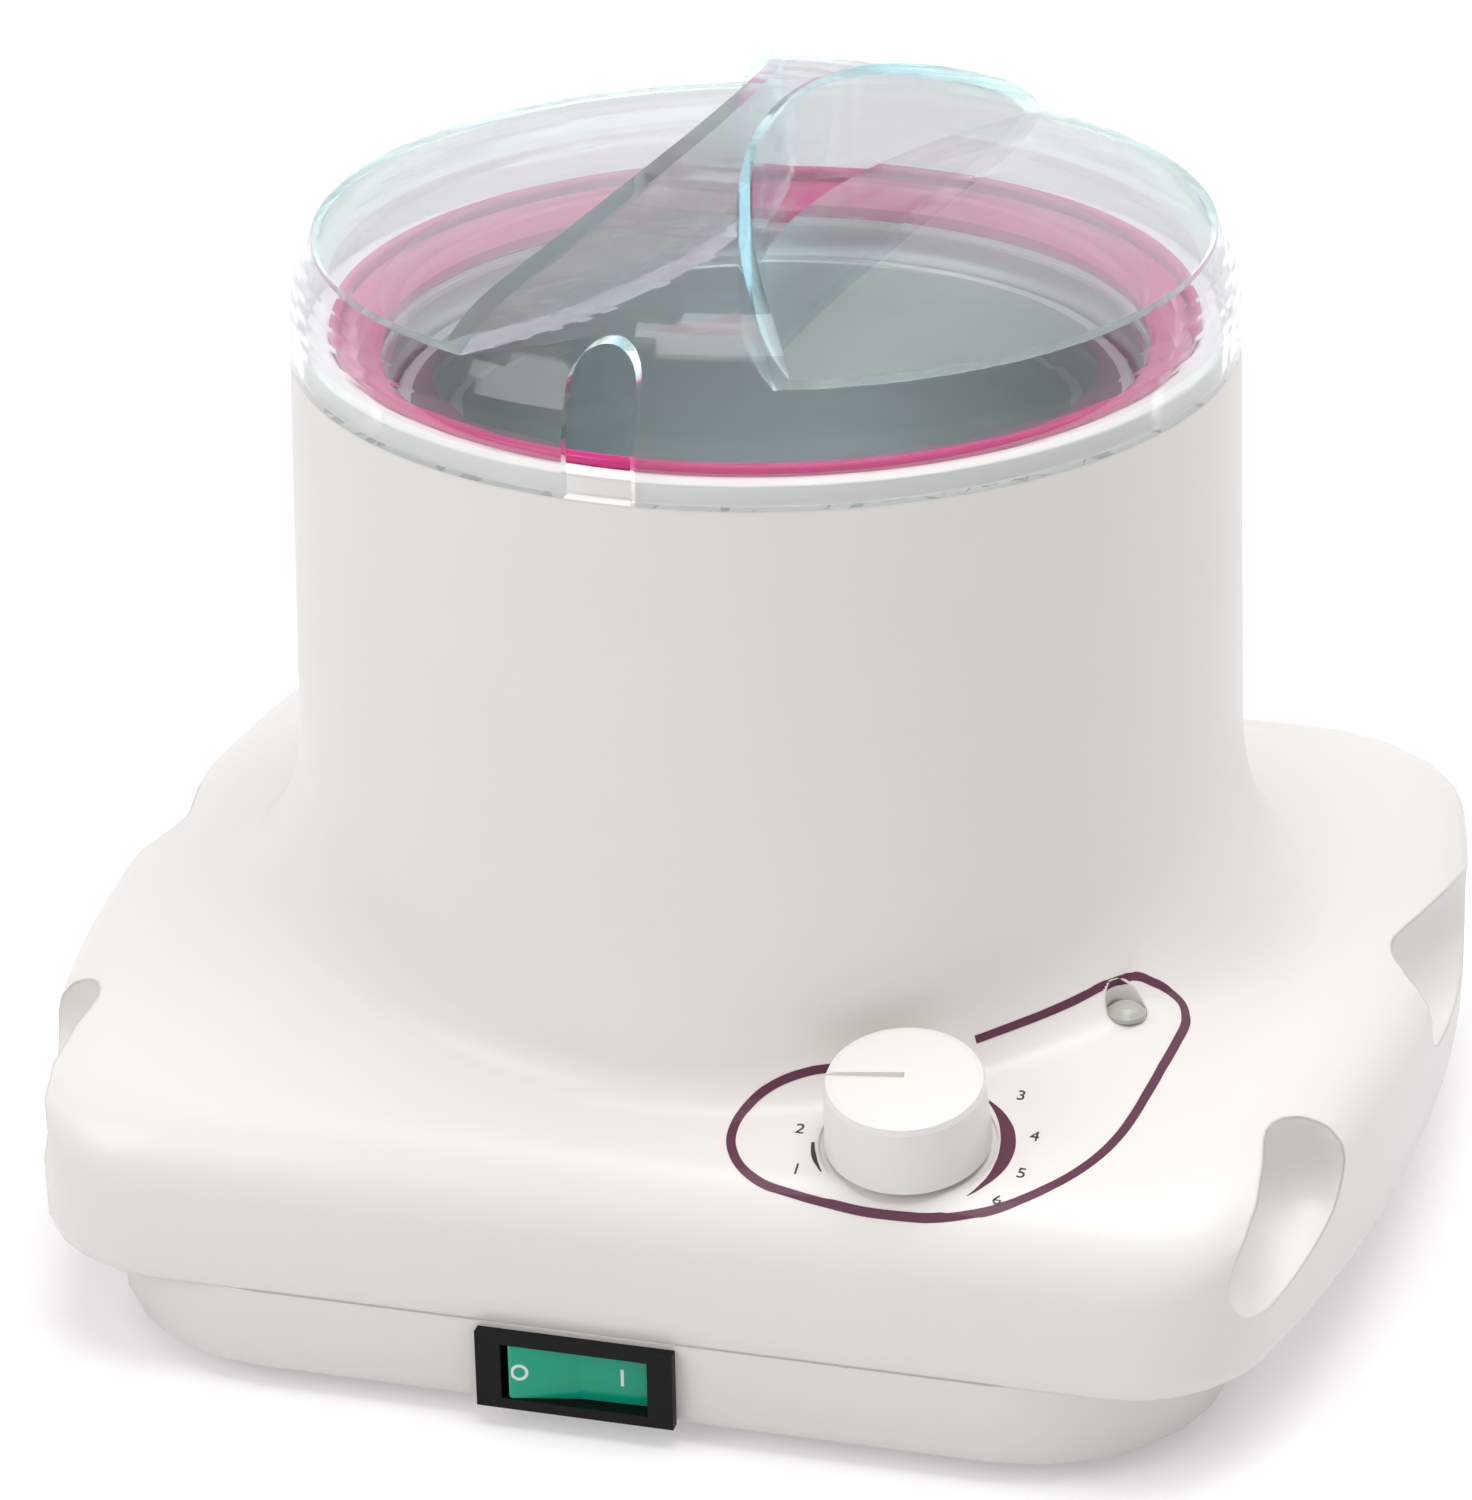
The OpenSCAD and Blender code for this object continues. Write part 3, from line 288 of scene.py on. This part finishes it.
def smooth_group():
    """Geometry nodes that weld a faceted skin and shade it smooth, with its sharper edges kept."""
    group = bpy.data.node_groups.new("smooth_skin", "GeometryNodeTree")
    group.interface.new_socket("Geometry", in_out="INPUT", socket_type="NodeSocketGeometry")
    group.interface.new_socket("Geometry", in_out="OUTPUT", socket_type="NodeSocketGeometry")
    make, link = group.nodes.new, group.links.new
    start, end = make("NodeGroupInput"), make("NodeGroupOutput")
    drop = make("GeometryNodeRemoveAttribute")
    drop.inputs["Name"].default_value = "custom_normal"
    weld = make("GeometryNodeMergeByDistance")
    weld.inputs["Distance"].default_value = WELD * MM
    faces, edges = make("GeometryNodeSetShadeSmooth"), make("GeometryNodeSetShadeSmooth")
    edges.domain = "EDGE"
    angle, low = make("GeometryNodeInputMeshEdgeAngle"), make("FunctionNodeCompare")
    low.operation = "LESS_THAN"
    low.inputs["B"].default_value = math.radians(SMOOTH_BELOW)
    link(start.outputs[0], drop.inputs["Geometry"])
    link(drop.outputs["Geometry"], weld.inputs["Geometry"])
    link(weld.outputs["Geometry"], faces.inputs["Geometry"])
    link(faces.outputs["Geometry"], edges.inputs["Geometry"])
    link(angle.outputs["Unsigned Angle"], low.inputs["A"])
    link(low.outputs["Result"], edges.inputs["Shade Smooth"])
    link(edges.outputs["Geometry"], end.inputs[0])
    return group


smooth_skin = smooth_group()
for name in ("upper_housing", "base_tray", "capillary_tube", "internal_wires"):
    nodes[name].modifiers.new("smooth", "NODES").node_group = smooth_skin


# Pieces


def add_object(name, mesh, material):
    made = bpy.data.objects.new(name, mesh)
    bpy.context.scene.collection.objects.link(made)
    mesh.materials.append(material)
    return made


def add_piece(name, bm, material, body):
    """A piece made from a bmesh, which rides on a body."""
    mesh = bpy.data.meshes.new(name)
    bm.to_mesh(mesh)
    bm.free()
    piece = add_object(name, mesh, material)
    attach(piece, body)
    return piece


# Rolled lip of the funnel ring

LIP_WIDTH, LIP_HEIGHT, LIP_SEAT = 1.9 * MM, 1.7 * MM, 0.8 * MM
LIP_ROUND = 16  # parts of its rounded top


def lip_profile():
    """The lip's outline in radius and height: a half round on a foot that stands in the ring."""
    ring_low, ring_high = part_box("collar_ring")
    half = LIP_WIDTH / 2
    middle_r = (ring_high.x - ring_low.x) / 2 - half
    round_z = ring_high.z + LIP_HEIGHT - half
    foot_z = ring_high.z - LIP_SEAT
    turns = [math.pi * i / LIP_ROUND for i in range(LIP_ROUND + 1)]
    top = [(middle_r + half * math.cos(a), round_z + half * math.sin(a)) for a in turns]
    return top + [(middle_r - half, foot_z), (middle_r + half, foot_z)]


def turned(profile, parts=192):
    """A ring round the tower's axis with a closed profile in radius and height, in metres."""
    bm = bmesh.new()
    rows = []
    for i in range(parts):
        a = 2 * math.pi * i / parts
        rows.append([bm.verts.new((r * math.cos(a), TOWER_Y + r * math.sin(a), z)) for r, z in profile])
    for a, b in zip(rows, rows[1:] + rows[:1]):
        for k in range(len(profile)):
            n = (k + 1) % len(profile)
            bm.faces.new((a[k], b[k], b[n], a[n])).smooth = True
    bmesh.ops.recalc_face_normals(bm, faces=bm.faces)
    return bm


lip = add_piece("collar_lip", turned(lip_profile()), finishes["magenta_plastic"], "housing")


# Print on the surfaces, with its places, widths and lifts in millimetres

DIGIT_SHARE = 0.7  # height of the font's digits as a share of its size


class Skin:
    """The surface of a CAD node, which ink is laid on."""

    def __init__(self, node):
        mesh = nodes[node].data
        self.tree = BVHTree.FromPolygons([v.co for v in mesh.vertices],
                                         [p.vertices[:] for p in mesh.polygons])

    def on(self, place, lift=0.0):
        """The nearest point of the surface in metres, raised by lift, and the way out of the surface."""
        spot, out = self.tree.find_nearest(Vector(place) * MM)[:2]
        return spot + out * lift * MM, out


class Plane:
    """A flat drawing place, given by its origin and its right and up directions."""

    def __init__(self, origin, right, up):
        self.origin, self.right, self.up = Vector(origin), Vector(right), Vector(up)

    def __call__(self, x, y):
        return self.origin + self.right * x + self.up * y

    def arc(self, radius, start, end, step=3.0):
        """Points of an arc round the origin, from one angle to another in degrees."""
        count = max(2, int(abs(end - start) / step))
        angles = [math.radians(start + (end - start) * i / count) for i in range(count + 1)]
        return [self(radius * math.cos(a), radius * math.sin(a)) for a in angles]


def spline(points, step):
    """Points every step along a smooth curve through the given points."""
    made = []
    points = [Vector(p) for p in points]
    ends = [points[0]] + points + [points[-1]]
    for a, b, c, d in zip(ends, ends[1:], ends[2:], ends[3:]):
        count = max(1, int((c - b).length / step))
        for t in (i / count for i in range(count)):
            made.append(0.5 * (2 * b + (c - a) * t + (2 * a - 5 * b + 4 * c - d) * t ** 2
                               + (3 * b - a - 3 * c + d) * t ** 3))
    return made + [points[-1]]


def width_at(widths, share):
    """Width at a share of a line's length, between evenly spaced widths."""
    place = share * (len(widths) - 1)
    k = min(int(place), len(widths) - 2)
    return widths[k] + (widths[k + 1] - widths[k]) * (place - k)


def add_ink(name, bm, material, body, lift):
    """A piece of ink, whose underside lies just inside the surface."""
    piece = add_piece(name, bm, material, body)
    solid = piece.modifiers.new("ink", "SOLIDIFY")
    solid.thickness, solid.offset = 1.5 * lift * MM, -1


def lay_line(name, skin, points, widths, material, body, across=4, lift=0.07):
    """A line of ink along a row of points, with its widths from start to end."""
    bm = bmesh.new()
    rows = []
    for i, point in enumerate(points):
        ahead = points[min(i + 1, len(points) - 1)] - points[max(i - 1, 0)]
        side = skin.on(point)[1].cross(ahead).normalized()
        half = width_at(widths, i / (len(points) - 1)) / 2
        rows.append([bm.verts.new(skin.on(point + side * half * (2 * k / across - 1), lift)[0])
                     for k in range(across + 1)])
    for a, b in zip(rows, rows[1:]):
        for k in range(across):
            bm.faces.new((a[k + 1], a[k], b[k], b[k + 1]))
    add_ink(name, bm, material, body, lift)


def lay_digits(name, skin, plane, marks, height, material, body, lift=0.07):
    """Plain numbers laid on a surface, each at its place in the plane."""
    bm = bmesh.new()
    for text, x, y in marks:
        curve = bpy.data.curves.new(name, "FONT")
        curve.body, curve.size = text, height / DIGIT_SHARE
        curve.align_x, curve.align_y = "CENTER", "CENTER"
        holder = bpy.data.objects.new(name + "_text", curve)
        flat = bpy.data.meshes.new_from_object(holder)
        for v in flat.vertices:
            v.co = skin.on(plane(x + v.co.x, y + v.co.y), lift)[0]
        bm.from_mesh(flat)
        bpy.data.objects.remove(holder)
        bpy.data.curves.remove(curve)
        bpy.data.meshes.remove(flat)
    add_ink(name, bm, material, body, lift)


def middle(node):
    low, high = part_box(node)
    return (low + high) / 2 / MM


plum, black_ink, mark_white = ink("plum_ink", PLUM), ink("black_ink", INK), ink("mark_white", MARK_WHITE)

# Control panel: the line round knob and lens, and the scale round the knob. Each arc is given by
# its radius and its two angles in degrees, and each number by its place from the knob's axis
PANEL_TILT = math.radians(12)
PANEL_LINE = [(49.2, -54.9, 57.2), (54.6, -50.6, 58.2), (58.6, -47.1, 58.9), (62.5, -43.3, 59.7),
              (66.5, -38.0, 60.4), (70.2, -34.4, 60.2), (73.0, -33.2, 58.9), (75.6, -32.4, 57.2),
              (78.0, -33.3, 55.5), (79.1, -36.8, 54.3), (78.6, -43.8, 53.8), (77.5, -52.2, 52.9),
              (76.1, -60.8, 51.5), (74.6, -67.0, 50.8), (72.2, -72.6, 49.6), (68.6, -77.9, 48.3),
              (64.2, -82.3, 47.0), (59.4, -85.6, 46.0), (54.5, -87.4, 45.3), (49.6, -88.3, 44.6),
              (45.5, -88.5, 44.4), (39.3, -88.5, 44.4), (33.0, -87.8, 44.7), (27.1, -86.9, 45.1),
              (22.8, -85.9, 45.5), (19.2, -83.9, 46.4), (16.9, -81.0, 47.3), (15.7, -77.4, 48.1),
              (15.9, -73.0, 49.2), (18.3, -70.0, 51.7), (21.6, -68.3, 53.7), (25.5, -66.8, 55.0),
              (28.9, -65.7, 55.4)]
PANEL_LINE_WIDTHS = [1.3, 1.5, 1.5, 1.6, 1.5, 1.4]
CRESCENT, CRESCENT_WIDTHS = (15.3, 52, -42), [0.1, 1.3, 2.2, 2.4, 2.0, 1.0, 0.1]
SCALE_START, SCALE_START_WIDTHS = (14.7, 217, 190), [0.2, 0.8, 0.5]
NUMBERS = [("1", -15.6, -9.0), ("2", -17.2, 0.1), ("3", 14.8, 13.6), ("4", 18.8, 4.6),
           ("5", 18.5, -4.0), ("6", 16.0, -10.6)]
NUMBER_HEIGHT = 2.2

panel = Plane(middle("thermostat_nut"), (1, 0, 0), (0, math.cos(PANEL_TILT), math.sin(PANEL_TILT)))
housing_skin = Skin("upper_housing")
lay_line("panel_line", housing_skin, spline(PANEL_LINE, 0.5), PANEL_LINE_WIDTHS, plum, "housing")
lay_line("heat_crescent", housing_skin, panel.arc(*CRESCENT), CRESCENT_WIDTHS, plum, "housing")
lay_line("scale_start", housing_skin, panel.arc(*SCALE_START), SCALE_START_WIDTHS, black_ink, "housing")
lay_digits("dial_numbers", housing_skin, panel, NUMBERS, NUMBER_HEIGHT, black_ink, "housing")

# Ring and bar on the rocker, which stand for off and on
RING_X, RING_R, BAR_X, BAR_HEIGHT = -7.4, 1.2, 7.2, 3.0
STROKE, MARK_LIFT = [0.5, 0.5], 0.04

rocker_skin = Skin("rocker")
rocker_front = Plane(middle("rocker") - Vector((0, 12, 0)), (1, 0, 0), (0, 0, 1))
ring = Plane(rocker_front(RING_X, 0), (1, 0, 0), (0, 0, 1)).arc(RING_R, 0, 360, 10)
bar = [rocker_front(BAR_X, BAR_HEIGHT * i / 6) for i in range(-3, 4)]
lay_line("rocker_ring", rocker_skin, ring, STROKE, mark_white, "rocker", lift=MARK_LIFT)
lay_line("rocker_bar", rocker_skin, bar, STROKE, mark_white, "rocker", lift=MARK_LIFT)


# Stage, light and camera, in metres and watts

FLOOR_HALF = 6.0
# The floor's own light rises with the distance, as the lamps' light falls
GLOW_NEAR, GLOW_FAR, RISE_START, RISE_END = 0.30, 0.75, 0.3, 1.6
SKY_STRENGTH = 0.54
LAMP_AIM = Vector((0, 0, 0.07))
# Each lamp's name, place, width and power
LAMPS = [("top", (0.12, -0.05, 1.35), 1.0, 10.1),
         ("left_front", (-0.9, -0.9, 0.8), 0.8, 4.4),
         ("right_back", (0.7, 0.6, 1.2), 0.7, 2.0)]


def make_floor():
    """A pale floor that takes the object's shadow and looks white around it."""
    s = Shader("pale_floor")
    flat = s.add("BsdfDiffuse", Color=s.tint(s.noise(3, 2), FLOOR_GREY, 0.01))
    rise = s.ramp(s.length(s.coords), RISE_START, RISE_END, GLOW_NEAR, GLOW_FAR)
    glow = s.add("Emission", Color=(1, 1, 1, 1), Strength=s.math("MULTIPLY", s.seen(), rise))
    both = s.add("AddShader")
    s.link(flat.outputs[0], both.inputs[0])
    s.link(glow.outputs[0], both.inputs[1])
    s.link(both.outputs[0], s.out.inputs["Surface"])
    mesh = bpy.data.meshes.new("floor")
    corners = [(x * FLOOR_HALF, y * FLOOR_HALF, 0) for x, y in ((-1, -1), (1, -1), (1, 1), (-1, 1))]
    mesh.from_pydata(corners, [], [(0, 1, 2, 3)])
    floor = add_object("floor", mesh, s.material)


def make_world():
    """A soft sky that lights the object, and plain white where the sky is seen."""
    world = bpy.data.worlds.new("studio")
    bpy.context.scene.world = world
    world.use_nodes = True
    w = Nodes(world.node_tree, "OutputWorld")
    lit = w.add("Background", Color=(*SKY, 1), Strength=SKY_STRENGTH)
    white = w.add("Background", Color=(1, 1, 1, 1), Strength=1.0)
    w.link(w.mix(w.seen(), lit, white), w.out.inputs["Surface"])


def make_light(name, place, size, power):
    data = bpy.data.lights.new(name, "AREA")
    data.shape, data.size, data.energy = "DISK", size, power
    lamp = bpy.data.objects.new(name, data)
    lamp.location = place
    lamp.rotation_euler = (LAMP_AIM - Vector(place)).to_track_quat("-Z", "Y").to_euler()
    bpy.context.scene.collection.objects.link(lamp)


def make_camera():
    """The camera that was fitted to the photograph, with its directions as unit vectors."""
    data = bpy.data.cameras.new("camera")
    data.sensor_width, data.lens = 36, 120
    data.shift_x, data.shift_y = 0.0007, 0.0143
    data.clip_start, data.clip_end = 0.01, 50
    place = Vector((0.19563, -0.72528, 0.429475))
    ahead = Vector((-0.23971876, 0.87097069, -0.42888806))
    right = Vector((0.96602481, 0.25794663, -0.01611215))
    up = Vector((-0.09659703, 0.41817889, 0.90321394))
    turn = Matrix((right, up, -ahead)).transposed()
    camera = bpy.data.objects.new("camera", data)
    camera.matrix_world = Matrix.Translation(place) @ turn.to_4x4()
    bpy.context.scene.collection.objects.link(camera)
    bpy.context.scene.camera = camera


make_floor()
make_world()
for lamp in LAMPS:
    make_light(*lamp)
make_camera()
bpy.context.scene.view_settings.view_transform = "Standard"
